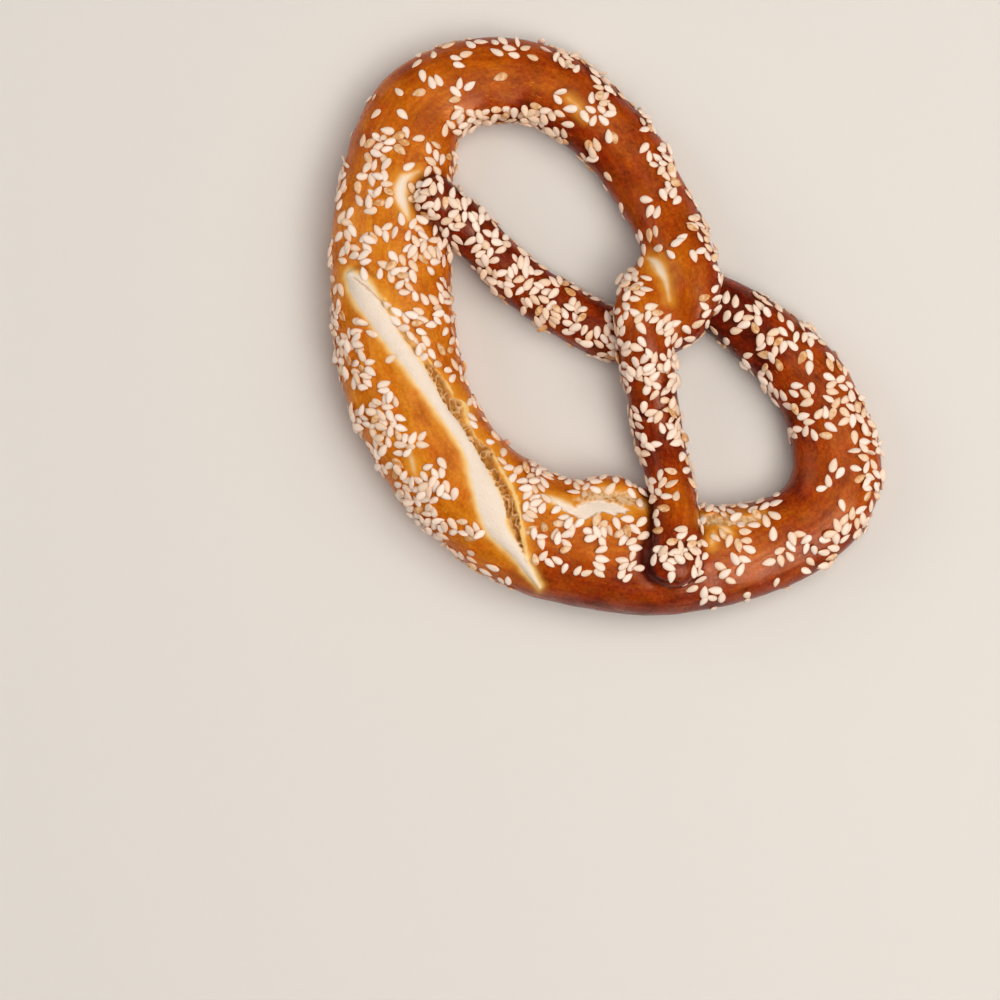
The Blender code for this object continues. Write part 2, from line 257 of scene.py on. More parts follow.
def loft(stations):
    """Corners and faces of a tube through the stations, with round ends, in mm."""
    stations = np.array(stations)
    places, _ = even_places(stations, RING_SPACING)
    along, side, up = directions(stations, places)
    values = read_along(stations, places)
    rings = [(values[k, :3], side[k], up[k], *(values[k, 3:5] / 2)) for k in range(len(places))]
    caps = {0: [], -1: []}
    for end, way in ((0, -1), (-1, 1)):
        centre, out, upward, half_width, half_height = rings[end]
        for turn in np.radians(CAP_TURNS):
            moved = centre + along[end] * way * math.sin(turn) * half_width
            small = math.cos(turn) ** CAP_BLUNTNESS
            caps[end].append((moved, out, upward, small * half_width, small * half_height))
    rings = caps[0][::-1] + rings + caps[-1]
    angles = 2 * np.pi * np.arange(RING_SIDES) / RING_SIDES
    corners = [
        c + np.outer(np.cos(angles) * w, s) + np.outer(np.sin(angles) * h, u)
        for c, s, u, w, h in rings
    ]
    return np.concatenate(corners), ring_faces(len(rings), RING_SIDES)


def ring_faces(rings, sides):
    """Faces that join rings of corners, and close both ends."""
    faces = []
    for start in range(0, (rings - 1) * sides, sides):
        for k in range(sides):
            after = (k + 1) % sides
            faces.append((start + after, start + k, start + sides + k, start + sides + after))
    faces.append(tuple(range(sides)))
    faces.append(tuple(reversed(range((rings - 1) * sides, rings * sides))))
    return faces


tubes = [loft(stations) for stations in (STATIONS, TWIST_CORE, TWIST_WEB, TEAR_BULGE)]
print("tube corners:", [len(corners) for corners, _ in tubes])

# %% [markdown]
# ## One skin
#
# Where the ropes cross, the tubes run through each other. A voxel remesh takes only the outer
# surface of them all, as one skin with even faces. Real dough does the same: where two ropes
# press together, they bake into one. Even faces also make the later relief simple.

# %% Remesh the tubes into one skin
VOXEL = 0.55


def make_mesh(name, corners, faces):
    """A new object in metres from corners in mm."""
    mesh = bpy.data.meshes.new(name)
    mesh.from_pydata((corners * MM).tolist(), [], faces)
    mesh.update()
    return new_object(name, mesh)


def skin_of(name, tubes):
    """One closed skin round the tubes."""
    corners, faces, first = [], [], 0
    for tube_corners, tube_faces in tubes:
        corners.append(tube_corners)
        faces += [tuple(first + k for k in face) for face in tube_faces]
        first += len(tube_corners)
    raw = make_mesh("Raw_tubes", np.concatenate(corners), faces)
    remesh = raw.modifiers.new("Skin", "REMESH")
    remesh.mode = "VOXEL"
    remesh.voxel_size = VOXEL * MM
    graph = bpy.context.evaluated_depsgraph_get()
    mesh = bpy.data.meshes.new_from_object(raw.evaluated_get(graph))
    bpy.data.objects.remove(raw, do_unlink=True)
    mesh.name = name
    return new_object(name, mesh)


dough = skin_of("Pretzel_dough", tubes)
print("skin faces:", len(dough.data.polygons))

# %% [markdown]
# ## Working on the skin with numpy
#
# The next steps move thousands of corners by rules, so the corners are read into an array,
# moved and written back. Smoothing moves each corner towards the mean of its neighbours, which
# takes the steps out of the voxels. The tray has flattened the underside: nothing is below 0.

# %% Read, smooth and write corners
SKIN_SMOOTHING = 6


def read_array(rows, field, width, kind=float):
    """One field of all the corners, normals or edges, with a row for each."""
    flat = np.empty(len(rows) * width, kind)
    rows.foreach_get(field, flat)
    return flat.reshape(-1, width)


def get_corners(piece):
    return read_array(piece.data.vertices, "co", 3) / MM


def get_normals(piece):
    return read_array(piece.data.vertex_normals, "vector", 3)


def get_edges(piece):
    return read_array(piece.data.edges, "vertices", 2, int)


def set_corners(piece, corners):
    """Write the corners back. The tray keeps them at 0 or above."""
    corners[:, 2] = np.maximum(corners[:, 2], 0)
    piece.data.vertices.foreach_set("co", (corners * MM).ravel())
    piece.data.update()


def neighbour_means(values, edges):
    """For each corner, the mean of its neighbours' values."""
    size = len(values)
    count = np.maximum(np.bincount(edges.ravel(), minlength=size), 1)
    means = [
        (
            np.bincount(edges[:, 0], column[edges[:, 1]], size)
            + np.bincount(edges[:, 1], column[edges[:, 0]], size)
        )
        / count
        for column in values.T
    ]
    return np.stack(means, axis=1)


def smoothed(values, edges, rounds, share=0.5):
    """The values moved a share of the way towards their neighbours, several times."""
    for _ in range(rounds):
        values = values + share * (neighbour_means(values, edges) - values)
    return values


corners = smoothed(get_corners(dough), get_edges(dough), SKIN_SMOOTHING)
set_corners(dough, corners)
print("corners:", len(corners))

# %% [markdown]
# ## Where the dough has run together
#
# Smoothing many more times in a few places, and less towards their rims, turns the sharp valley
# between two ropes into a soft one. That is how the twist looks from above, and the right side
# of each end.

# %% Soften the joints: x, y and z of the middle, radius, rounds of smoothing
SOFT_JOINTS = [
    (1.0, 31.5, 17.0, 8.0, 50),
    (6.5, 28.0, 19.5, 9.0, 60),
    (12.0, 23.5, 18.0, 8.0, 50),
    (-3.5, 31.5, 13.5, 7.0, 60),
    (60.5, -2.0, 18.0, 7.0, 70),
    (-48.5, 5.5, 15.0, 6.0, 40),
]
SOFT_STRENGTH = 0.6
SOFT_MIDDLE = 0.4


def ramp(low, high, values):
    """0 at low, 1 at high, smooth in between."""
    t = np.clip((values - low) / (high - low), 0, 1)
    return t * t * (3 - 2 * t)


def soft_share(corners, joint):
    """1 in the middle of a soft joint, 0 at its radius."""
    x, y, z, radius, _ = joint
    away = np.linalg.norm(corners - (x, y, z), axis=1)
    return ramp(radius, radius * SOFT_MIDDLE, away)


def soften(corners, edges):
    """Smooth the corners inside each joint, for as many rounds as it says."""
    for joint in SOFT_JOINTS:
        share = soft_share(corners, joint)[:, None] * SOFT_STRENGTH
        near = edges[(share[edges, 0] > 0).any(axis=1)]
        corners = smoothed(corners, near, joint[-1], share)
    return corners


corners = soften(corners, get_edges(dough))
set_corners(dough, corners)
print("softened joints:", len(SOFT_JOINTS))

# %% [markdown]
# ## Marks on the crust
#
# The slash, the crevice beside it, the crust's lip, the rip above it, the tears, the seam and
# the pale stretch marks are long narrow marks, and so are the creases at the ends, the folds
# and the slash's shoulder. Each is a few points with a width, and a smooth curve runs through
# them. The points were read off the photo, turned into mm and rounded to half a mm. How
# far a corner is from that curve, seen from above, says how much of the mark it gets. Noise
# makes the edges ragged later, so the points stay few.

# %% The marks: x, y and width in mm
SLASH = [
    (-48.5, -28.5, 2.5), (-45.5, -28.5, 5), (-40.5, -29, 5.5), (-31, -30, 4.5), (-18.5, -30.5, 4),
    (-9, -31.5, 3), (2.5, -32.5, 3), (11, -35, 5), (18.5, -37.5, 6.5), (23, -39.5, 5),
    (30.5, -39.5, 3), (36, -40, 2), (41, -40.5, 0.2),
]
CREVICE = [
    (-19.5, -27.5, 0.4), (-15.5, -27.5, 2), (-10.5, -28.5, 2), (-7, -28.5, 3), (-4, -29.5, 1),
    (-0.5, -30, 1.5), (2.5, -30.5, 1), (6, -30, 3), (11, -31, 2), (18, -32.5, 2), (24, -35, 2.5),
    (28, -37, 1), (31.5, -38, 0.2),
]
RIP = [(-47.5, -28, 0.4), (-43, -27, 0.5), (-37, -26.5, 0.5), (-30, -27.5, 0.5), (-19, -27.5, 0.8)]
LIP = [
    (-38.5, -25.5, 0.5), (-28, -26.5, 0.8), (-19, -26.5, 0.5), (-11, -27, 0.9), (-8.5, -27.5, 0.9),
    (-5.5, -26.5, 1), (-3, -28.5, 1.3), (0, -29.5, 0.9), (2.5, -30, 0.9), (6, -29, 1), (12, -29.5, 1.2),
    (19, -31, 1.3), (27, -35, 1.4), (31.5, -37.5, 1), (34, -39, 0.5),
]
TEAR_BAND = [
    (28, -24, 0.5), (31, -22.5, 2), (33, -20.5, 4), (34.5, -16.5, 3.5), (38, -13.5, 2.5),
    (40, -11.5, 1),
]
TEAR_FACE = [(29.5, -20, 0.5), (32, -16, 3.5), (36.5, -11.5, 4), (41, -8, 1)]
END_SEAM = [(53, 2, 1), (54.5, 3, 3), (58.5, 7, 2.2), (60, 9.5, 2.2), (62, 13.5, 0.5)]
STRETCH_MARKS = {
    "beside_left_end": [
        (-58, 1, 0.4), (-58.5, -1.5, 2), (-58.5, -3.5, 3), (-56.5, -6, 3.5), (-53, -7.5, 2.2),
        (-50, -8.5, 0.5),
    ],
    "twist": [(-5.5, 32, 0.8), (-3.5, 32.5, 2.3), (-1, 32, 2.5), (1.5, 31.5, 1.5), (6, 29, 0.3)],
    "left_loop": [(-49, 41.5, 0.2), (-46, 42, 0.6), (-43, 41.5, 0.2)],
    "belly": [(-6, -44, 0.3), (-3, -45.5, 1.2), (0, -47, 0.3)],
    "before_tear": [(22.5, -27.5, 0.4), (26, -24.5, 2), (30, -22.5, 2.5)],
    "beside_right_end": [(57.5, 1.5, 0.3), (58.5, 0.5, 1), (59.5, -1, 0.3)],
    "below_seam": [(56.5, 3.5, 0.3), (59, 4.5, 1.2), (60.5, 5, 0.3)],
}
END_CREASES = (
    [(-55, 0.5, 0.1), (-54.5, -2, 0.4), (-51, -5.5, 0.7), (-47, -5, 0.3)],
    [(42, -6, 0.4), (48, -11.5, 1), (53.5, -16.5, 1.2), (58, -17, 1), (61.5, -13.5, 0.3)],
)
SLASH_FOLD = [(-50, -28.5, 0.3), (-48.5, -25, 1.3), (-44.5, -24, 0.5)]
SLASH_SHOULDER = [(-34, -35.5, 3), (-15.5, -36, 5.5), (-3, -36, 6), (9.5, -39.5, 3.5), (18, -42.5, 3)]
ARM_FOLD = [(21, 5.5, 0.8), (25.5, 7, 1.3), (26.5, 12.5, 0.8)]
MARK_STEPS = 4
MARK_BOX = 6.0
FAR_AWAY = 1e9


def mark_line(mark):
    """The mark's points and widths on a smooth curve."""
    points = np.array(mark, float)
    return read_along(points, np.linspace(0, len(points) - 1, MARK_STEPS * (len(points) - 1) + 1))


def mark_reach(corners, mark):
    """How far each corner is from the mark's middle line, and the half width there, in mm."""
    line = mark_line(mark)
    nearest = np.full(len(corners), FAR_AWAY)
    half = np.zeros(len(corners))
    low, high = line[:, :2].min(axis=0) - MARK_BOX, line[:, :2].max(axis=0) + MARK_BOX
    close = ((corners[:, :2] > low) & (corners[:, :2] < high)).all(axis=1)
    spots = corners[close, :2]
    away_there, half_there = nearest[close], half[close]
    for start, end in zip(line, line[1:]):
        step = end[:2] - start[:2]
        part = np.clip((spots - start[:2]) @ step / (step @ step), 0, 1)
        distance = np.linalg.norm(spots - start[:2] - part[:, None] * step, axis=1)
        width = start[2] + part * (end[2] - start[2])
        half_there = np.where(distance < away_there, width / 2, half_there)
        away_there = np.minimum(away_there, distance)
    nearest[close], half[close] = away_there, half_there
    return nearest, half


def mark_mask(corners, mark, soft, ragged=0.0, wider=0.0):
    """1 inside the mark, 0 outside it, over a rim of the given softness."""
    nearest, half = mark_reach(corners, mark)
    return ramp(soft, -soft, nearest - half - wider + ragged)


print("slash length:", round(math.dist(SLASH[0][:2], SLASH[-1][:2])), "mm")

# %% [markdown]
# ## Finer faces round the slash and the tear
#
# The lip of the crust is only a millimetre thick. The faces round the marks are cut in two each
# way before anything is pushed in or out, and the rest of the skin stays as coarse as it was.

# %% Refine the skin round the marks
FINE_REACH = 2.6
FINEST_REACH = 0.9
FINE_ABOVE = 7.0
FINE_SMOOTHING = 2
TORN_MARKS = (CREVICE, LIP, TEAR_BAND, TEAR_FACE, END_SEAM)


def refine(piece, chosen):
    """Cut the edges whose two corners are both chosen."""
    mesh = bmesh.new()
    mesh.from_mesh(piece.data)
    mesh.verts.ensure_lookup_table()
    edges = [e for e in mesh.edges if chosen[e.verts[0].index] and chosen[e.verts[1].index]]
    bmesh.ops.subdivide_edges(mesh, edges=edges, cuts=1, use_grid_fill=True)
    mesh.to_mesh(piece.data)
    mesh.free()
    return len(edges)


def near_marks(corners, marks, reach):
    near = np.zeros(len(corners), bool)
    for mark in marks:
        nearest, half = mark_reach(corners, mark)
        near |= nearest < half + reach
    return near & (corners[:, 2] > FINE_ABOVE)


for marks, reach in (((SLASH, *TORN_MARKS), FINE_REACH), (TORN_MARKS, FINEST_REACH)):
    print("edges cut:", refine(dough, near_marks(corners, marks, reach)))
    corners = get_corners(dough)
corners = smoothed(corners, get_edges(dough), FINE_SMOOTHING)
set_corners(dough, corners)

# %% [markdown]
# ## Where on the rope a corner lies
#
# Browning, grain and seeds all follow the rope. Each corner finds the place on the rope that it
# belongs to, its angle round the rope, and how much farther the next stretch of rope is. That
# last number is small only in the creases where two ropes touch.

# %% Find each corner's place on the rope
SEARCH_SPACING = 1.5
NEIGHBOUR_RUN = 24.0
CHUNK = 6000


def rope_places(corners):
    """Station, run in mm, angle in degrees (0 outer side, 90 top), and gap in mm."""
    places, run = even_places(STATIONS, SEARCH_SPACING)
    values = read_along(STATIONS, places)
    _, side, up = directions(STATIONS, places)
    found = []
    for start in range(0, len(corners), CHUNK):
        away = corners[start : start + CHUNK, None, :] - values[None, :, :3]
        across = np.einsum("nmk,mk->nm", away, side)
        upward = np.einsum("nmk,mk->nm", away, up)
        oval = np.hypot(across / (values[:, 3] / 2), upward / (values[:, 4] / 2))
        radius = np.hypot(across, upward) / np.maximum(oval, 0.01)
        depth = np.linalg.norm(away, axis=2) - radius
        nearest = depth.argmin(axis=1)
        rows = np.arange(len(nearest))
        far = np.abs(run[None, :] - run[nearest][:, None]) > NEIGHBOUR_RUN
        other = np.where(far, depth, 1e3).min(axis=1)
        angle = np.degrees(np.arctan2(upward[rows, nearest], across[rows, nearest]))
        gap = other - depth[rows, nearest]
        found.append(np.stack([places[nearest], run[nearest], angle, gap], axis=1))
    return np.concatenate(found).T


station, run, angle, gap = rope_places(corners)
print("corners near a crease:", int((gap < 1.5).sum()))

# %% [markdown]
# ## Relief
#
# Real dough is uneven: slow lumps and small ones make the surface wander. The crumb swells out
# of the slash, the crevice sinks beside it with thin webs of crumb across it, and the crust's
# lip stands up with a ragged edge. Torn faces are rough, and folds and creases sink in. All of
# it moves the corners along their normals.

# %% Move the corners
LUMPS = ((14.0, 0.35), (5.0, 0.14))
NOISE_SWING = 1.6
RAGGED_SIZE, FRAYED_SIZE, FIBRE_SIZE, WEB_SIZE = 2.4, 0.9, 0.45, 1.7
WEB_SHARPNESS = 3
# Heights in mm between which a mark fades in.
UPPER = (6, 9)
TEAR_FACE_HEIGHTS, END_SEAM_HEIGHTS = (3, 6), (4, 8)
FOLD_HEIGHTS, END_CREASE_HEIGHTS = (8, 10), (10, 13)
CRUMB_SWELL = 0.5
CREVICE_DEPTH = 1.3
WEB_RISE = 0.7
RIP_DEPTH = 0.25
LIP_RISE = 0.35
LIP_RAGGEDNESS = 0.8
TEAR_STEP = 0.5
TORN_ROUGHNESS = 0.16
FACE_ROUGHNESS = 0.5
FIBRE_ROUGHNESS = 0.5
FOLD_DEPTH = 0.5
CREASE_WIDTH = 1.2
CREASE_FALL = 1.3
CREASE_DEPTH = 0.6
SLASH_FOLD_SHARE = 0.4
END_CREASE_DEPTH = 0.8


def lumps(corners, size, shift=0.0):
    """Smooth noise from about -1 to 1, with lumps of the given size in mm."""
    moved = (corners / size + shift).tolist()
    return np.array([noise.noise(point) for point in moved]) * NOISE_SWING


def edged(mark, soft, rag=0.0, fray=0.0, wider=0.0, heights=UPPER):
    """A mark's mask with a soft, ragged and frayed edge, which fades in between two heights."""
    mask = mark_mask(corners, mark, soft, rag * ragged + fray * frayed, wider)
    return ramp(*heights, corners[:, 2]) * mask


def strongest(marks, soft, rag, wider=0.0):
    """The strongest of several marks' masks at each corner."""
    masks = [mark_mask(corners, mark, soft, rag * ragged, wider) for mark in marks]
    return np.max(masks, axis=0)


upper = ramp(*UPPER, corners[:, 2])
# The shifts keep the noises apart.
ragged = lumps(corners, RAGGED_SIZE)
frayed = lumps(corners, FRAYED_SIZE, 7.0)
fibres = lumps(corners, FIBRE_SIZE, 3.0)
webs = np.clip(1 - WEB_SHARPNESS * np.abs(lumps(corners, WEB_SIZE, 5.0)), 0, 1)

nearest, half = mark_reach(corners, SLASH)
swell = np.clip(1 - (nearest / np.maximum(half, 0.5)) ** 2, 0, 1) * upper
crumb = edged(SLASH, 0.55, rag=0.15, wider=-0.1)
crevice = edged(CREVICE, 0.25, rag=0.2, fray=0.32)
lip = edged(LIP, 0.3, rag=0.25, fray=0.2) * (1 - crevice)
rip = edged(RIP, 0.2, fray=0.12)
tear_band = edged(TEAR_BAND, 0.4, rag=0.5, fray=0.3)
tear_face = edged(TEAR_FACE, 0.6, rag=0.6, fray=0.3, heights=TEAR_FACE_HEIGHTS)
end_seam = edged(END_SEAM, 0.4, rag=0.5, fray=0.3, heights=END_SEAM_HEIGHTS)
fold = edged(ARM_FOLD, 0.5, rag=0.2, heights=FOLD_HEIGHTS)
crease = np.exp(-((np.maximum(gap, 0) / CREASE_WIDTH) ** CREASE_FALL))
for joint in SOFT_JOINTS:
    crease *= 1 - soft_share(corners, joint)
slash_fold = SLASH_FOLD_SHARE * strongest([SLASH_FOLD], 0.6, 0.2)
end_crease = np.maximum(strongest(END_CREASES, 0.45, 0.15), slash_fold)
end_crease *= ramp(*END_CREASE_HEIGHTS, corners[:, 2])

move = sum(height * lumps(corners, size) for size, height in LUMPS)
move += CRUMB_SWELL * swell
move -= CREVICE_DEPTH * crevice * (1 - WEB_RISE * webs)
move -= RIP_DEPTH * rip
move += LIP_RISE * lip * (1 + LIP_RAGGEDNESS * ragged)
move -= TEAR_STEP * np.maximum(tear_band, end_seam)
torn_rough = crevice + FACE_ROUGHNESS * np.maximum(tear_face, end_seam)
move += TORN_ROUGHNESS * torn_rough * (frayed + FIBRE_ROUGHNESS * fibres)
move -= FOLD_DEPTH * fold
move -= CREASE_DEPTH * crease
move -= END_CREASE_DEPTH * end_crease
corners = corners + get_normals(dough) * move[:, None]
set_corners(dough, corners)
dough.data.shade_smooth()
print("relief from", round(move.min(), 2), "to", round(move.max(), 2), "mm")

# %% [markdown]
# ## Browning and painted shade
#
# Thin dough bakes through faster than fat dough, so the arms go dark and the belly stays golden,
# and the rims are darker than the top, partly from the bake and partly as painted shade. That
# rule gives a level anywhere on the rope: 0 is golden and 1 is the darkest brown. No oven is
# even, so some stretches depart from the rule, and some are darker as painted shade where the
# rope beside or above them shades them. Each has a name, and how much darker or paler than the
# rule it is.

# %% Browning levels, with painted shade in some stretches
THIN_ROPE, FAT_ROPE = 12.0, 30.0
THIN_LEVEL, FAT_LEVEL = 0.75, 0.25
# The rims are darker than the top, partly from the bake and partly as painted shade.
RIM_DARKER = 0.1
STRETCH_FADE = 0.8
BAKE_SMOOTHING = 20
# First and last station, then how much darker its side towards a hole, top and outer side are.
DEPARTURES = {
    "left_arm": (0, 4.5, 0, 0.1, 0),
    "upper_rope_in_the_twist": (5, 9, -0.2, -0.25, 0.05),
    # Partly painted shade: the side towards the hole is darker where the loop shades it.
    "left_loop_rims": (11, 14, 0.2, 0, 0.1),
    "belly_left": (18, 24, 0, 0, -0.1),
    "belly_right": (25.5, 29, 0, 0.2, 0.45),
    # Partly painted shade: on both right-loop stretches the side towards the hole is darker where the
    # loop shades it.
    "right_loop_low": (29, 32, 0.2, 0.05, 0.2),
    "right_loop_high": (32, 37, 0.2, 0.1, 0),
    # Painted shade: the rope that runs into the twist is darker beneath the twist's upper rope.
    "rope_into_the_twist": (37, 39, 0.2, 0.3, 0.1),
    "lower_rope_in_the_twist": (39.5, 43, -0.2, -0.3, -0.25),
    "right_end": (47, 48, -0.3, -0.45, 0),
    "right_end_tip": (48.5, 50, 0.1, 0.15, 0.3),
}


def rope_width(station):
    return np.interp(station, np.arange(len(STATIONS)), STATIONS[:, 3])


def browning_and_shade(station, angle):
    """The rule's level, changed by the stretches that depart from it."""
    across = np.cos(np.radians(angle))
    hole, outer = np.clip(-across, 0, 1), np.clip(across, 0, 1)
    level = np.interp(rope_width(station), (THIN_ROPE, FAT_ROPE), (THIN_LEVEL, FAT_LEVEL))
    level = level + RIM_DARKER * across**2
    for first, last, at_hole, on_top, outside in DEPARTURES.values():
        share = ramp(first - STRETCH_FADE, first + STRETCH_FADE, station)
        share = share * ramp(last + STRETCH_FADE, last - STRETCH_FADE, station)
        level = level + share * (at_hole * hole + on_top * (1 - hole - outer) + outside * outer)
    return level


bake_and_shade = browning_and_shade(station, angle)
bake_and_shade = smoothed(bake_and_shade[:, None], get_edges(dough), BAKE_SMOOTHING)[:, 0]
print("browning from", round(bake_and_shade.min(), 2), "to", round(bake_and_shade.max(), 2))

# %% [markdown]
# ## Masks for the finish
#
# The masks are stored on the corners as named attributes, which the material reads. The halo is
# the golden rim round everything that opened late in the oven: that crust is thin and young.
# Inside it, the thinnest skin is pale yellow, and a stretch mark's middle is cream.

# %% Store the masks
HALO_WIDTH = 1.3
HALO_SOFT = 1.6
THIN_SOFT = 0.9
LIP_THINNESS = 0.85
RIP_TORN, RIP_SHADE = 0.6, 0.5
# A shade's level, and how much of it the webs, the frayed lumps and the fibres take or give.
PIT_SHADE = (0.62, -0.6, -0.15, 0)
FOLD_SHADE = (0.15, 0, 0.3, 0.2)


def store(piece, name, values):
    layer = piece.data.attributes.new(name, "FLOAT", "POINT")
    layer.data.foreach_set("value", values.astype(np.float32))


def store_place(piece, name, values):
    layer = piece.data.attributes.new(name, "FLOAT_VECTOR", "POINT")
    layer.data.foreach_set("vector", values.astype(np.float32).ravel())


def shade_level(level, web, fray, fibre):
    return np.clip(level + web * webs + fray * frayed + fibre * fibres, 0, 1)


stretched = list(STRETCH_MARKS.values())
opened = [SLASH, LIP, TEAR_BAND, TEAR_FACE, END_SEAM, *stretched]
thin = np.maximum(strongest([SLASH], THIN_SOFT, 0.25, 0.7), LIP_THINNESS * lip)
faces = np.maximum(tear_face * (1 - tear_band), end_seam)
pits = crevice * shade_level(*PIT_SHADE)
folds = faces * shade_level(*FOLD_SHADE)
masks = {
    "bake_and_shade": bake_and_shade,
    "halo": upper * strongest(opened, HALO_SOFT, 0.4, HALO_WIDTH),
    "thin": upper * np.maximum(thin, strongest(stretched, THIN_SOFT, 0.2, -0.25)),
    "blond": upper * strongest(stretched, THIN_SOFT, 0.15, -0.7),
    "crumb": np.maximum(crumb, tear_band) * (1 - crevice),
    "torn": np.maximum(np.maximum(crevice, faces), RIP_TORN * rip),
    "shade": np.maximum(np.maximum(pits, folds), RIP_SHADE * rip),
    # The crease mask carries painted shade: it darkens the creases, the folds and the ends' creases.
    "crease": np.maximum(np.maximum(crease, fold), end_crease),
}
for name, values in masks.items():
    store(dough, name, values)
girth = rope_width(station) / 2
store_place(dough, "grain", np.stack([run, np.radians(angle) * girth, girth], axis=1))
print("masks:", [*masks, "grain"])

# %% [markdown]
# ## Colours
#
# A picture shows colours from 0 to 255 on a curve that suits the eye. Shaders reckon with light,
# which is linear, so the colours are turned before they go into a socket.

# %% Colours as a picture shows them


def srgb(red, green, blue):
    """A colour from 0 to 255, turned into the linear one that shaders use."""
    linear = []
    for value in (red, green, blue):
        v = value / 255
        linear.append(v / 12.92 if v <= 0.04045 else ((v + 0.055) / 1.055) ** 2.4)
    return (*linear, 1.0)


CRUST_STEPS = [
    (0.0, srgb(226, 150, 44)),
    (0.2, srgb(212, 122, 22)),
    (0.4, srgb(186, 90, 8)),
    (0.6, srgb(158, 62, 6)),
    (0.8, srgb(122, 34, 5)),
    (1.0, srgb(74, 14, 6)),
]
GOLDEN = srgb(230, 152, 44)
PALE_YELLOW = srgb(246, 212, 140)
CREAM = srgb(240, 223, 206)
CRUMB_SHADE = srgb(230, 198, 158)
TORN_STEPS = [
    (0.0, srgb(226, 190, 146)),
    (0.3, srgb(208, 154, 88)),
    (0.65, srgb(166, 108, 42)),
    (1.0, srgb(116, 64, 16)),
]
# Painted shade: the near-black colour laid into the creases where ropes touch, the folds and the
# creases round the ends.
PAINTED_CREASE_SHADE = srgb(58, 6, 6)
print("crust steps:", len(CRUST_STEPS))

# %% [markdown]
# ## Small helpers for node trees
#
# Each adds one node or a few, and feeds them with plain values or with other nodes' outputs.

# %% Node helpers


def add(tree, kind, **settings):
    made = tree.nodes.new(kind)
    for key, value in settings.items():
        setattr(made, key, value)
    return made


def feed(tree, socket, value):
    """Link an output to the socket, or set the socket to a plain value."""
    if isinstance(value, bpy.types.NodeSocket):
        tree.links.new(value, socket)
    else:
        socket.default_value = value


def feed_all(tree, node, **values):
    """Feed a node's inputs by name, with _ for a space; returns its first output."""
    for name, value in values.items():
        feed(tree, node.inputs[name.replace("_", " ")], value)
    return node.outputs[0]


def maths(tree, operation, a, b, clamp=False):
    made = add(tree, "ShaderNodeMath", operation=operation, use_clamp=clamp)
    feed(tree, made.inputs[0], a)
    feed(tree, made.inputs[1], b)
    return made.outputs[0]


def mix(tree, share, first, second):
    """A colour that goes from the first to the second."""
    made = add(tree, "ShaderNodeMix", data_type="RGBA")
    feed(tree, made.inputs[0], share)
    feed(tree, made.inputs[6], first)
    feed(tree, made.inputs[7], second)
    return made.outputs[2]


def stepped(tree, value, steps):
    """A colour read from steps of (position, colour)."""
    made = add(tree, "ShaderNodeValToRGB")
    feed(tree, made.inputs[0], value)
    elements = made.color_ramp.elements
    while len(elements) < len(steps):
        elements.new(0.5)
    for element, (position, colour) in zip(elements, steps):
        element.position = position
        element.color = colour
    return made.outputs[0]


def bumped(tree, height, strength, depth):
    """A normal that follows the height, with its depth in mm."""
    bump = add(tree, "ShaderNodeBump")
    return feed_all(tree, bump, Height=height, Strength=strength, Distance=depth * MM)


def attribute(tree, name, kind="Fac"):
    return add(tree, "ShaderNodeAttribute", attribute_name=name).outputs[kind]


def new_material(name):
    material = bpy.data.materials.new(name)
    material.use_nodes = True
    tree = material.node_tree
    return tree, tree.nodes["Principled BSDF"], material


def new_group(name, inputs, output):
    """An empty node group with named sockets, each given as (name, kind)."""
    group = bpy.data.node_groups.new(name, "ShaderNodeTree")
    for socket_name, kind in inputs:
        group.interface.new_socket(socket_name, in_out="INPUT", socket_type=kind)
    group.interface.new_socket(output[0], in_out="OUTPUT", socket_type=output[1])
    return group, group.nodes.new("NodeGroupInput"), group.nodes.new("NodeGroupOutput")


def place_group(tree, group, **values):
    """The group in a material, with its inputs fed by name; returns its first output."""
    return feed_all(tree, add(tree, "ShaderNodeGroup", node_tree=group), **values)


# %% [markdown]
# ## Unevenness
#
# Nothing baked is one even tone. This group adds noise of a chosen size in mm to any value: how
# brown the crust is, how toasted a seed is, or how rough something is. The place comes from
# outside, so the same group can follow the rope's own grain or plain space.

# %% A group that makes a value uneven
FLOAT, VECTOR = "NodeSocketFloat", "NodeSocketVector"
NOISE_DETAIL = 3.0
NOISE_ROUGHNESS = 0.55
NOISE_GAIN = 4.0


def make_unevenness():
    sockets = [("Value", FLOAT), ("Place", VECTOR), ("Size", FLOAT), ("Amount", FLOAT)]
    group, come, go = new_group("Unevenness", sockets, ("Value", FLOAT))
    field = feed_all(
        group,
        add(group, "ShaderNodeTexNoise"),
        Vector=come.outputs["Place"],
        Scale=maths(group, "DIVIDE", 1.0, come.outputs["Size"]),
        Detail=NOISE_DETAIL,
        Roughness=NOISE_ROUGHNESS,
    )
    swing = maths(group, "SUBTRACT", field, 0.5)
    gain = maths(group, "MULTIPLY", come.outputs["Amount"], NOISE_GAIN)
    swing = maths(group, "MULTIPLY", swing, gain)
    value = maths(group, "ADD", come.outputs["Value"], swing)
    feed(group, go.inputs["Value"], value)
    return group


def make_place_in_mm():
    """The place in space, in mm."""
    group, come, go = new_group("Place_in_mm", [], ("Place", VECTOR))
    scaled = add(group, "ShaderNodeVectorMath", operation="SCALE")
    feed(group, scaled.inputs[0], add(group, "ShaderNodeTexCoord").outputs["Object"])
    feed(group, scaled.inputs["Scale"], 1 / MM)
    feed(group, go.inputs["Place"], scaled.outputs[0])
    return group


UNEVENNESS = make_unevenness()
PLACE_IN_MM = make_place_in_mm()


def uneven(tree, value, place, size, amount):
    """The value with noise added, of a size in mm."""
    return place_group(tree, UNEVENNESS, Value=value, Place=place, Size=size, Amount=amount)


print("groups:", [group.name for group in bpy.data.node_groups])
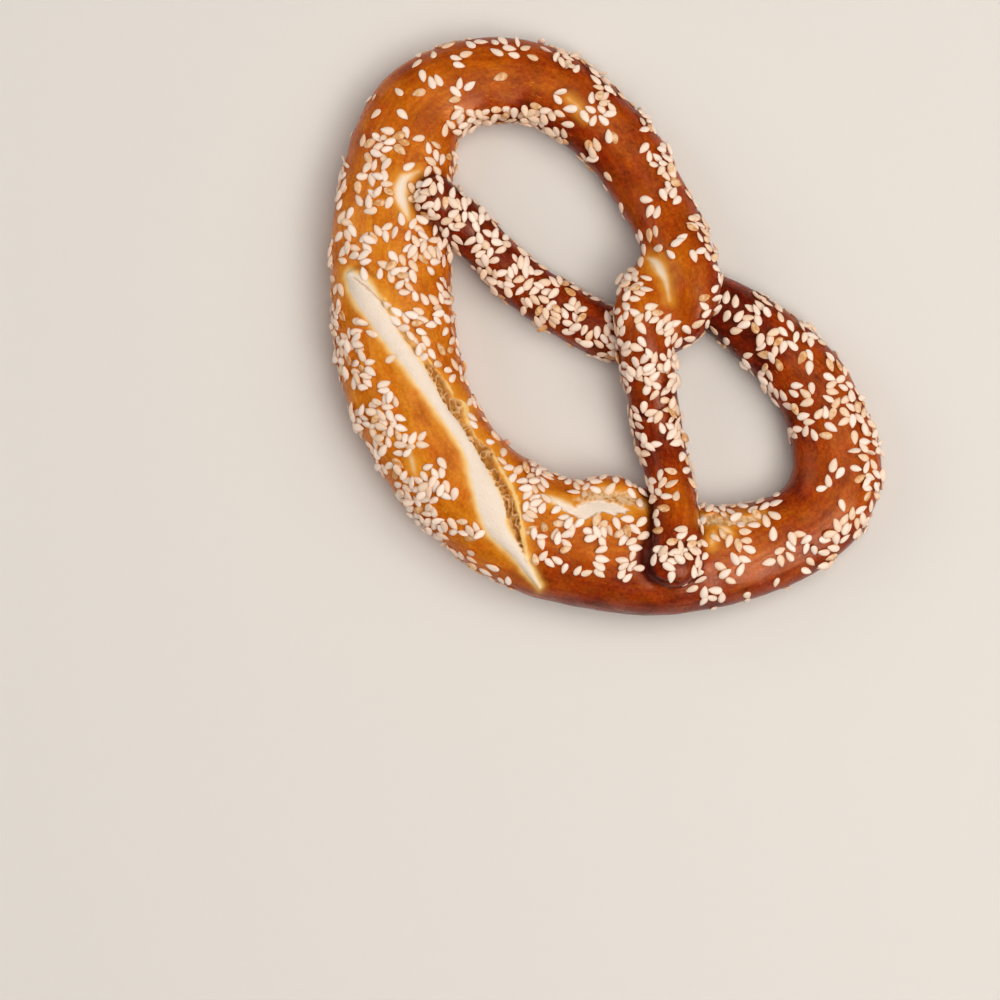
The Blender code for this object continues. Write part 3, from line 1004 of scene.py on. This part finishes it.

# %% [markdown]
# ## The crust and the crumb
#
# One material covers the whole skin, because crust turns into crumb without an edge. It starts
# from the browning level, which carries some painted shade, makes it uneven at three sizes and
# lets tiny blisters bake paler. The crust's colour is read from that, with a slight swing in hue.
# The golden halo, the pale yellow skin, the stretch marks, the cream crumb, the torn crumb with
# painted shade in the crevice's pits, and the dark creases, which are painted shade, are laid
# over it in turn. Crust shines softly with a warm gloss, crumb doesn't.

# %% The crust's material
CRUST_ROUGHNESS = 0.30
CRUMB_ROUGHNESS = 0.88
CRUST_GLOSS = 0.28
CRUST_SHEEN = (1.0, 0.65, 0.45, 1.0)
CRUST_BUMP = (0.6, 0.25)
GRAIN_SQUEEZE = 0.3
BLISTER_SQUEEZE = 0.45
BLISTER_LEVEL = -0.22
BLISTER_SHARPNESS = 4.0
BLISTER_PALER = 0.4
BLISTER_RISE = 0.3
CRUST_PORES = 0.15
CRUMB_DULLNESS = 0.12
# Each of these is the noise's size in mm and its amount.
PATCHES, STREAKS, SPECKS = (7.0, 0.16), (2.0, 0.12), (0.8, 0.12)
BLISTERS, BLISTER_PATCHES = (0.5, 0.5), (11.0, 0.8)
HUE_SWING = (3.5, 0.008)
CRUMB_MOTTLE, TORN_FIBRES = (2.0, 0.1), (0.7, 0.08)
DULL_PATCHES = (4.0, 0.08)
WRINKLES, PORES = (1.3, 0.2), (0.5, 0.3)


def stretched_grain(tree, along):
    """The rope's own grain as a place in mm, squeezed along the rope."""
    made = add(tree, "ShaderNodeVectorMath", operation="MULTIPLY")
    feed(tree, made.inputs[0], attribute(tree, "grain", "Vector"))
    feed(tree, made.inputs[1], (along, 1.0, 1.0))
    return made.outputs[0]


def flecks(tree, place, grain):
    """Where tiny blisters in the crust have baked paler, in patches."""
    spots = uneven(tree, BLISTER_LEVEL, grain, *BLISTERS)
    patches = uneven(tree, 0.5, place, *BLISTER_PATCHES)
    spots = maths(tree, "MULTIPLY", spots, BLISTER_SHARPNESS, clamp=True)
    return maths(tree, "MULTIPLY", spots, patches, clamp=True)


def crust_colour(tree, place, grain, blisters):
    value = attribute(tree, "bake_and_shade")
    for spot, size_and_amount in ((place, PATCHES), (grain, STREAKS), (place, SPECKS)):
        value = uneven(tree, value, spot, *size_and_amount)
    value = maths(tree, "SUBTRACT", value, maths(tree, "MULTIPLY", blisters, BLISTER_PALER))
    shifted = add(tree, "ShaderNodeHueSaturation")
    hue = uneven(tree, 0.5, place, *HUE_SWING)
    colour = feed_all(tree, shifted, Hue=hue, Color=stepped(tree, value, CRUST_STEPS))
    dull = maths(tree, "MAXIMUM", uneven(tree, CRUMB_DULLNESS, place, *CRUMB_MOTTLE), 0.0)
    fibres = uneven(tree, attribute(tree, "shade"), place, *TORN_FIBRES)
    layers = (
        ("halo", 0.75, GOLDEN),
        ("thin", 0.85, PALE_YELLOW),
        ("blond", 1.0, CREAM),
        ("crumb", 1.0, mix(tree, dull, CREAM, CRUMB_SHADE)),
        ("torn", 1.0, stepped(tree, fibres, TORN_STEPS)),
        ("crease", 0.85, PAINTED_CREASE_SHADE),
    )
    for mask, share, over in layers:
        colour = mix(tree, maths(tree, "MULTIPLY", attribute(tree, mask), share), colour, over)
    return colour


def make_crust():
    tree, shader, material = new_material("Baked_crust")
    place = place_group(tree, PLACE_IN_MM)
    grain = stretched_grain(tree, GRAIN_SQUEEZE)
    blisters = flecks(tree, place, stretched_grain(tree, BLISTER_SQUEEZE))
    open_crumb = maths(tree, "MAXIMUM", attribute(tree, "crumb"), attribute(tree, "torn"))
    rough = maths(tree, "MULTIPLY", open_crumb, CRUMB_ROUGHNESS - CRUST_ROUGHNESS)
    rough = maths(tree, "ADD", rough, CRUST_ROUGHNESS)
    pores = maths(tree, "ADD", open_crumb, CRUST_PORES)
    pores = maths(tree, "MULTIPLY", uneven(tree, 0.0, place, *PORES), pores)
    pores = maths(tree, "ADD", pores, maths(tree, "MULTIPLY", blisters, BLISTER_RISE))
    height = maths(tree, "ADD", uneven(tree, 0.0, grain, *WRINKLES), pores)
    feed_all(
        tree,
        shader,
        Base_Color=crust_colour(tree, place, grain, blisters),
        Roughness=uneven(tree, rough, place, *DULL_PATCHES),
        Specular_IOR_Level=CRUST_GLOSS,
        Specular_Tint=CRUST_SHEEN,
        Normal=bumped(tree, height, *CRUST_BUMP),
    )
    return material


dough.data.materials.clear()
dough.data.materials.append(make_crust())
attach(dough, "root")
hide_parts("pretzel")
print("dough faces:", len(dough.data.polygons))

# %% [markdown]
# ## Sesame seeds
#
# A hulled sesame seed is a flat drop, round at one end and pointed at the other. These are about
# 3.5 mm long, a little over the usual 3.2 mm. One seed is made as an array of corners, and then
# copied by matrices into one mesh: a thousand separate objects would be slow, and nobody picks
# them off one by one.

# %% One seed
SEED_LENGTH = 3.6
SEED_WIDTH = 2.05
SEED_THICKNESS = 0.7
SEED_SIDES = 10
SEED_RINGS = (0.03, 0.13, 0.3, 0.5, 0.7, 0.88)
SEED_FULLNESS = 0.8
SEED_EDGE = 1.15
SEED_WIDEST_AT = 0.38
ROUND_END, POINTED_END = 0.55, 0.9
RIM_SHARPNESS = 3
RIM_AT_ENDS = 6


def drop_width(t):
    """The drop's half width at t along it, from 0 to 1."""
    return t**ROUND_END * (1 - t) ** POINTED_END


def swung(value, power):
    """A sine or cosine pushed outwards by a power below 1, or pulled in by one above it."""
    return math.copysign(abs(value) ** power, value)


def make_seed_template():
    """Corners in mm and faces of one seed, and how near its tip and its rim each corner is."""
    widest = drop_width(SEED_WIDEST_AT)
    corners = [(-SEED_LENGTH / 2, 0, 0)]
    tip, rim = [0.0], [1.0]
    for t in SEED_RINGS:
        size = drop_width(t) / widest / 2
        for k in range(SEED_SIDES):
            turn = 2 * math.pi * k / SEED_SIDES
            y = swung(math.cos(turn), SEED_FULLNESS) * size * SEED_WIDTH
            z = swung(math.sin(turn), SEED_EDGE) * size * SEED_THICKNESS
            corners.append(((t - 0.5) * SEED_LENGTH, y, z))
            tip.append(t)
            rim.append(max(abs(math.cos(turn)) ** RIM_SHARPNESS, 1 - RIM_AT_ENDS * size))
    corners.append((SEED_LENGTH / 2, 0, 0))
    tip.append(1.0)
    rim.append(1.0)
    faces = []
    for k in range(SEED_SIDES):
        after = (k + 1) % SEED_SIDES
        faces.append((0, 1 + after, 1 + k))
        for near in range(1, 1 + (len(SEED_RINGS) - 1) * SEED_SIDES, SEED_SIDES):
            far = near + SEED_SIDES
            faces.append((near + k, near + after, far + after, far + k))
        last = len(corners) - 1 - SEED_SIDES
        faces.append((last + k, last + after, len(corners) - 1))
    return np.array(corners), faces, np.array(tip), np.array(rim)


SEED_CORNERS, SEED_FACES, SEED_TIP, SEED_RIM = make_seed_template()
print("one seed:", len(SEED_CORNERS), "corners,", len(SEED_FACES), "faces")

# %% [markdown]
# ## Where the seeds lie
#
# Seeds are thrown by hand, so they lie in drifts. Five words say how thick they lie. The rope is
# taken in named stretches, each with the side towards a hole, the top and the outer side. A few
# thick clusters are handfuls dropped at a place.

# %% Seeds on a square cm, and where they lie
BARE, FEW, SOME, MANY, THICK = 0, 3, 7, 12, 17
STREWN = {
    "left_end": (0, 3, MANY, THICK, MANY),
    "left_arm": (3, 5, SOME, THICK, MANY),
    "upper_rope_in_the_twist": (5, 8.5, BARE, BARE, SOME),
    "left_loop_right_limb": (8.5, 11.5, FEW, FEW, THICK),
    "left_loop_corner": (11.5, 13, MANY, SOME, THICK),
    "left_loop_crown": (13, 15.5, MANY, FEW, SOME),
    "left_loop_left_limb": (15.5, 17, FEW, FEW, FEW),
    "left_shoulder": (17, 18, SOME, MANY, SOME),
    "belly_left": (18, 20, THICK, MANY, SOME),
    "slash_high": (20, 22, SOME, SOME, THICK),
    "slash_middle": (22, 24.5, FEW, MANY, THICK),
    "slash_low": (24.5, 25.5, MANY, SOME, SOME),
    "belly_right": (25.5, 28, FEW, MANY, BARE),
    "right_shoulder": (28, 31, FEW, SOME, FEW),
    "right_loop_limb": (31, 34, BARE, FEW, THICK),
    "right_loop_high": (34, 38, SOME, MANY, MANY),
    "rope_into_the_twist": (38, 39.5, FEW, SOME, FEW),
    "lower_rope_in_the_twist": (39.5, 42.5, BARE, BARE, FEW),
    "right_arm": (42.5, 46, THICK, MANY, MANY),
    "right_arm_low": (46, 47.5, SOME, SOME, SOME),
    "right_end": (47.5, 49, FEW, BARE, FEW),
}
# Angles round the rope, in degrees: the side towards a hole, the top and the outer side.
BANDS = ((118, 188), (65, 118), (-8, 65))
ZONE_PLACES = 12
# x, y and spread in mm, and the number of seeds.
HANDFULS = [
    (-50, -1, 2.8, 20),
    (-4, 23, 1.7, 9),
    (-1, 25, 2, 6),
    (3, 19.5, 2.3, 5),
    (-1, 17.5, 2, 5),
    (13.5, 36, 1.5, 4),
    (1.5, 43, 1.5, 4),
    (28, -16, 1.6, 5),
    (31, -11.5, 1.8, 5),
    (55, -8.5, 2, 13),
    (57.5, -5.5, 1.6, 8),
    (57.5, -13.5, 1.4, 4),
    (52, 6, 1.5, 3),
    (56, 10, 2.2, 5),
    (63, 15.5, 1.5, 3),
]


def all_zones():
    """First and last station, first and last angle, and seeds on a square cm."""
    zones = []
    for first, last, *row in STREWN.values():
        zones += [(first, last, *band, number) for band, number in zip(BANDS, row) if number]
    return zones


def zone_area(first, last, low, high):
    """The zone's surface in square cm."""
    values = read_along(STATIONS, np.linspace(first, last, ZONE_PLACES))
    length = np.linalg.norm(np.diff(values[:, :3], axis=0), axis=1).sum()
    girth = math.pi * values[:, 3:5].mean()
    return length * girth * (high - low) / 360 / 100


ZONES = all_zones()
print("seeds wanted:", round(sum(zone_area(*zone[:4]) * zone[4] for zone in ZONES)))
print("and in handfuls:", sum(handful[3] for handful in HANDFULS))

# %% [markdown]
# ## Throwing the seeds
#
# A seed falls towards a random place in its zone and lands on the real, uneven dough, found by
# a ray. It lies flat on the surface there, turned any way, a little tilted and a little sunk in,
# and a few stand steeper. Three balls along each seed keep it out of its neighbours. Where no
# turn fits, some seeds come to lie on top of others, and the rest look for another place. Slow
# noise thins the seeds out here and there, because thrown seeds fall in drifts. The opened
# crumb, the slash's shoulder, two of the stretch marks and the crease round the right end stay
# bare.

# %% How the seeds are thrown
RANDOM_SEED = 5
SEED_TRIES = 40
SEED_TURNS = 4
SEED_SCALES = (0.86, 1.1)
SEED_LOWEST = 1.5
SEED_LIFT = 0.18
SEED_TILT = 8.0
PITCH_SHARE = 0.7
STEEP_SHARE = 0.08
STEEP_LIFT = 0.3
STEEP_TILT = 28.0
STACK_SHARE = 0.2
PILE_SHARE = 0.8
STACK_SLOPE = 0.2
STACK_LIFT = 0.75
STACK_TILT = 14.0
SEED_BALLS = ((-0.8, 0.85), (0.1, 1.0), (1.0, 0.55))
SEED_ROOM = 0.86
STACK_ROOM = 0.62
CELL = 2.5
DRIFT_SIZE = 5.5
DRIFT_LEVEL, DRIFT_SWING = 0.5, 2.6
RAY_START = 1.5
LANDING_LIMIT = 2.5
OVERHANG = -0.3
DROP_HEIGHT = 40.0
DROP_LOWEST = 8.0
# Painted shade: the seeds on the left loop's rim round its hole start from this browner tone.
HOLE_RIM_SEED_SHADE = 0.55
SHADED_SEED_STATIONS = (11.0, 15.0)
BARE_ABOVE = 8.0
# The marks that stay bare, and how far round each, in mm.
BARE_MARKS = (
    (SLASH, 0.7),
    (SLASH_SHOULDER, 0.0),
    (CREVICE, 0.9),
    (TEAR_BAND, 0.7),
    (TEAR_FACE, -0.6),
    (END_SEAM, -0.4),
    (STRETCH_MARKS["beside_left_end"], 0.9),
    (STRETCH_MARKS["twist"], 1.2),
    (END_CREASES[1], 1.2),
)
print("marks that stay bare:", len(BARE_MARKS))

# %% [markdown]
# ## Where a seed has room
#
# The dough's surface becomes a tree that finds where a ray meets it. Space is divided into
# cells, and each cell keeps the balls of the seeds in it, so that a new seed is compared only
# with those close by.

# %% The surface, the bare dough and the room for a seed


def tree_of(piece):
    """The piece's surface in mm, for finding what lies on it."""
    mesh = bmesh.new()
    mesh.from_mesh(piece.data)
    bmesh.ops.scale(mesh, vec=Vector((1 / MM, 1 / MM, 1 / MM)), verts=mesh.verts[:])
    tree = BVHTree.FromBMesh(mesh)
    mesh.free()
    return tree


def bare_corners(corners):
    """Which corners of the dough stay bare."""
    bare = np.zeros(len(corners), bool)
    for mark, clearance in BARE_MARKS:
        nearest, half = mark_reach(corners, mark)
        bare |= (nearest < half + clearance) & (corners[:, 2] > BARE_ABOVE)
    return bare


cells = {}
surface = tree_of(dough)
bare = bare_corners(get_corners(dough))


def is_bare(face):
    return bare[dough.data.polygons[face].vertices[0]]


def cell_of(point):
    return tuple(int(v // CELL) for v in point)


def is_free(balls, room):
    """Whether the balls stay clear of all the seeds that lie there."""
    for centre, radius in balls:
        i, j, k = cell_of(centre)
        for near in ((i + a, j + b, k + c) for a in (-1, 0, 1) for b in (-1, 0, 1) for c in (-1, 0, 1)):
            for other, other_radius in cells.get(near, ()):
                if (other - centre).length < (radius + other_radius) * room:
                    return False
    return True


print("corners that stay bare:", int(bare.sum()))

# %% Lay one seed
chance = random.Random(RANDOM_SEED)


def lay_seed(point, normal, lift, tilt):
    """A matrix in mm for a seed that lies at the point."""
    flat = normal.to_track_quat("Z", "Y").to_matrix().to_4x4()
    spin = Matrix.Rotation(chance.uniform(0, 2 * math.pi), 4, "Z")
    roll = Matrix.Rotation(math.radians(chance.gauss(0, tilt)), 4, "X")
    pitch = Matrix.Rotation(math.radians(chance.gauss(0, tilt * PITCH_SHARE)), 4, "Y")
    size = Matrix.Scale(chance.uniform(*SEED_SCALES), 4)
    return Matrix.Translation(point + normal * lift) @ flat @ spin @ roll @ pitch @ size


def try_seed(point, normal, stack_share):
    """A matrix for a seed at the point, or None where it has no room."""
    steep = chance.random() < STEEP_SHARE
    lift, tilt = SEED_LIFT + STEEP_LIFT * steep, STEEP_TILT if steep else SEED_TILT
    ways = [(lift, tilt, SEED_ROOM)] * SEED_TURNS
    if chance.random() < stack_share and normal.z > STACK_SLOPE:
        ways.append((SEED_LIFT + STACK_LIFT, STACK_TILT, STACK_ROOM))
    for lift, tilt, room in ways:
        matrix = lay_seed(point, normal, lift, tilt)
        balls = [(matrix @ Vector((along, 0, 0)), radius) for along, radius in SEED_BALLS]
        if is_free(balls, room):
            for centre, radius in balls:
                cells.setdefault(cell_of(centre), []).append((centre, radius))
            return matrix
    return None


# %% [markdown]
# ## Throwing them all
#
# The handfuls come first, then the zones one by one, each until enough seeds lie there or the
# tries run out.

# %% Throw the seeds and drop the handfuls


def throw(first, last, low, high):
    """Where a seed lands that falls towards a random place in a zone, or None."""
    place = np.array([chance.uniform(first, last)])
    turn = math.radians(chance.uniform(low, high))
    values = read_along(STATIONS, place)[0]
    _, side, up = (v[0] for v in directions(STATIONS, place))
    out = side * math.cos(turn) * values[3] / 2 + up * math.sin(turn) * values[4] / 2
    centre, out = Vector(values[:3]), Vector(out)
    if chance.random() > DRIFT_LEVEL + DRIFT_SWING * noise.noise((centre + out) / DRIFT_SIZE):
        return None
    point, normal, face, _ = surface.ray_cast(centre + out * RAY_START, -out)
    if point is None or (point - centre - out).length > LANDING_LIMIT:
        return None
    return None if point.z < SEED_LOWEST or normal.z < OVERHANG else (point, normal, face)


def drop(x, y, spread):
    """Where a seed of a handful lands that drops from straight above, or None."""
    above = Vector((chance.gauss(x, spread), chance.gauss(y, spread), DROP_HEIGHT))
    point, normal, face, _ = surface.ray_cast(above, Vector((0, 0, -1)))
    return None if point is None or point.z < DROP_LOWEST else (point, normal, face)


def strew(fall, where, wanted, stack_share, painted_shade=0.0):
    """A matrix for each seed that finds a place, and its tone: toasting, raised by any painted shade.
    """
    found = []
    for _ in range(wanted * SEED_TRIES):
        if len(found) == wanted:
            break
        landed = fall(*where)
        if landed is None or is_bare(landed[2]):
            continue
        matrix = try_seed(landed[0], landed[1], stack_share)
        if matrix:
            found.append((matrix, painted_shade + (1 - painted_shade) * chance.random()))
    return found


def painted_seed_shade_in(zone):
    """The seeds on the left loop's rim round its hole are browner than the others, as painted shade."""
    on_stretch = SHADED_SEED_STATIONS[0] <= zone[0] < SHADED_SEED_STATIONS[1]
    return HOLE_RIM_SEED_SHADE if on_stretch and zone[2:4] == BANDS[0] else 0.0


laid = []
for *where, wanted in HANDFULS:
    laid += strew(drop, where, wanted, PILE_SHARE)
for zone in ZONES:
    wanted = int(zone_area(*zone[:4]) * zone[4] + chance.random())
    laid += strew(throw, zone[:4], wanted, STACK_SHARE, painted_seed_shade_in(zone))
print("seeds:", len(laid))

# %% Make all the seeds as one piece


def make_seeds(laid):
    corners, faces = [], []
    flat = np.c_[SEED_CORNERS, np.ones(len(SEED_CORNERS))]
    for number, (matrix, _) in enumerate(laid):
        corners.append((flat @ np.array(matrix).T)[:, :3])
        first = number * len(SEED_CORNERS)
        faces += [tuple(first + k for k in face) for face in SEED_FACES]
    seeds = make_mesh("Sesame_seeds", np.concatenate(corners), faces)
    store(seeds, "tone", np.repeat([tone for _, tone in laid], len(SEED_CORNERS)))
    store(seeds, "tip", np.tile(SEED_TIP, len(laid)))
    store(seeds, "rim", np.tile(SEED_RIM, len(laid)))
    seeds.data.shade_smooth()
    return seeds


seeds = make_seeds(laid)
print("seed triangles:", sum(len(p.vertices) - 2 for p in seeds.data.polygons))

# %% [markdown]
# ## The seeds' finish
#
# Hulled sesame is cream, and the oven toasts a few seeds tan. Each seed has its own tone, which
# is made uneven over its surface, and its rim and its pointed tip are browner. The seeds on the
# left loop's rim round its hole have a browner tone as painted shade.

# %% The sesame's material
SEED_STEPS = [
    (0.0, srgb(250, 232, 216)),
    (0.6, srgb(246, 222, 200)),
    (0.9, srgb(239, 206, 172)),
    (0.97, srgb(228, 180, 126)),
    (1.0, srgb(208, 146, 84)),
]
TIP_COLOUR = srgb(190, 132, 84)
RIM_COLOUR = srgb(232, 164, 106)
TIP_SHARPNESS = 9.0
EDGE_SHARE = 0.6
SEED_ROUGHNESS = 0.48
SEED_GLOSS = 0.3
SEED_BUMP = (0.25, 0.1)
# Each of these is the noise's size in mm and its amount.
SEED_TONE, SEED_DULLNESS, SEED_SKIN = (1.3, 0.1), (0.8, 0.06), (0.35, 0.3)


def make_sesame():
    tree, shader, material = new_material("Sesame")
    place = place_group(tree, PLACE_IN_MM)
    colour = stepped(tree, uneven(tree, attribute(tree, "tone"), place, *SEED_TONE), SEED_STEPS)
    tip = maths(tree, "POWER", attribute(tree, "tip"), TIP_SHARPNESS)
    for share, over in ((attribute(tree, "rim"), RIM_COLOUR), (tip, TIP_COLOUR)):
        colour = mix(tree, maths(tree, "MULTIPLY", share, EDGE_SHARE), colour, over)
    feed_all(
        tree,
        shader,
        Base_Color=colour,
        Roughness=uneven(tree, SEED_ROUGHNESS, place, *SEED_DULLNESS),
        Specular_IOR_Level=SEED_GLOSS,
        Normal=bumped(tree, uneven(tree, 0.0, place, *SEED_SKIN), *SEED_BUMP),
    )
    return material


seeds.data.materials.append(make_sesame())
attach(seeds, "root")
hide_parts("pretzel")
print("materials:", [material.name for material in bpy.data.materials])

# %% [markdown]
# ## Floor, light and room
#
# The floor is plain and pale. A wide light stands high on the picture's right, with a lower one
# beside it, so every seed throws a small shadow to the left. Neither is seen in the gloss, since
# a white reflection would grey the crust's deep colour. A light from the lower right warms that
# side, and one more there is seen in the gloss alone, as a soft sheen. A cooler light fills the
# left. The room is darker overhead than at the horizon, and the gloss doesn't show it either.

# %% The floor
FLOOR_SIZE = 3.0
FLOOR_GAP = 0.1
FLOOR_COLOUR = srgb(222, 216, 208)
FLOOR_ROUGHNESS = 0.75
FLOOR_MOTTLE = (30.0, 0.03)


def make_floor():
    square = np.array([(-1, -1, 0), (1, -1, 0), (1, 1, 0), (-1, 1, 0)]) * FLOOR_SIZE / 2 / MM
    floor = make_mesh("Floor", square, [(0, 1, 2, 3)])
    floor.location.z = -FLOOR_GAP * MM
    tree, shader, material = new_material("Pale_floor")
    rough = uneven(tree, FLOOR_ROUGHNESS, place_group(tree, PLACE_IN_MM), *FLOOR_MOTTLE)
    feed_all(tree, shader, Base_Color=FLOOR_COLOUR, Roughness=rough)
    floor.data.materials.append(material)
    return floor


print("floor:", make_floor().name)

# %% The lights and the room
LIGHT_DISTANCE = 1.3
OVERHEAD = 0.08
HORIZON = 0.35
HORIZON_TINT = (1.0, 0.985, 0.97)
OVERHEAD_FROM = 0.7


def make_light(name, azimuth, elevation, size, energy, colour, lights=True, shines=True):
    """A round soft light that points at the pretzel, with its angles in degrees."""
    data = bpy.data.lights.new(name, "AREA")
    data.shape = "DISK"
    data.size = size
    data.energy = energy
    data.color = colour
    light = new_object(name, data)
    a, e = math.radians(azimuth), math.radians(elevation)
    toward = Vector((math.cos(a) * math.cos(e), math.sin(a) * math.cos(e), math.sin(e)))
    light.location = toward * LIGHT_DISTANCE
    light.rotation_euler = toward.to_track_quat("Z", "Y").to_euler()
    light.visible_diffuse = lights
    light.visible_glossy = shines


def make_room():
    """A grey room whose light grows from overhead to the horizon."""
    world = bpy.data.worlds.new("Soft_room")
    world.use_nodes = True
    tree = world.node_tree
    split = add(tree, "ShaderNodeSeparateXYZ")
    feed(tree, split.inputs[0], add(tree, "ShaderNodeTexCoord").outputs["Generated"])
    height = maths(tree, "ABSOLUTE", split.outputs["Z"], 0.0)
    steps = [
        (0.0, (*(HORIZON * tint for tint in HORIZON_TINT), 1.0)),
        (OVERHEAD_FROM, (OVERHEAD, OVERHEAD, OVERHEAD, 1.0)),
    ]
    feed(tree, tree.nodes["Background"].inputs["Color"], stepped(tree, height, steps))
    world.cycles_visibility.glossy = False
    bpy.context.scene.world = world


make_light("Top_light", 60, 72, 1.3, 13.0, (1.0, 0.98, 0.95), shines=False)
make_light("Key_light", 70, 42, 0.9, 2.0, (1.0, 0.97, 0.93), shines=False)
make_light("Warm_light", 6, 56, 0.55, 3.6, (1.0, 0.95, 0.92))
make_light("Sheen_light", 6, 38, 0.7, 12.0, (1.0, 0.95, 0.92), lights=False)
make_light("Fill_light", 215, 35, 1.0, 4.2, (0.98, 0.98, 1.0))
make_room()
bpy.context.scene.view_settings.view_transform = "Standard"
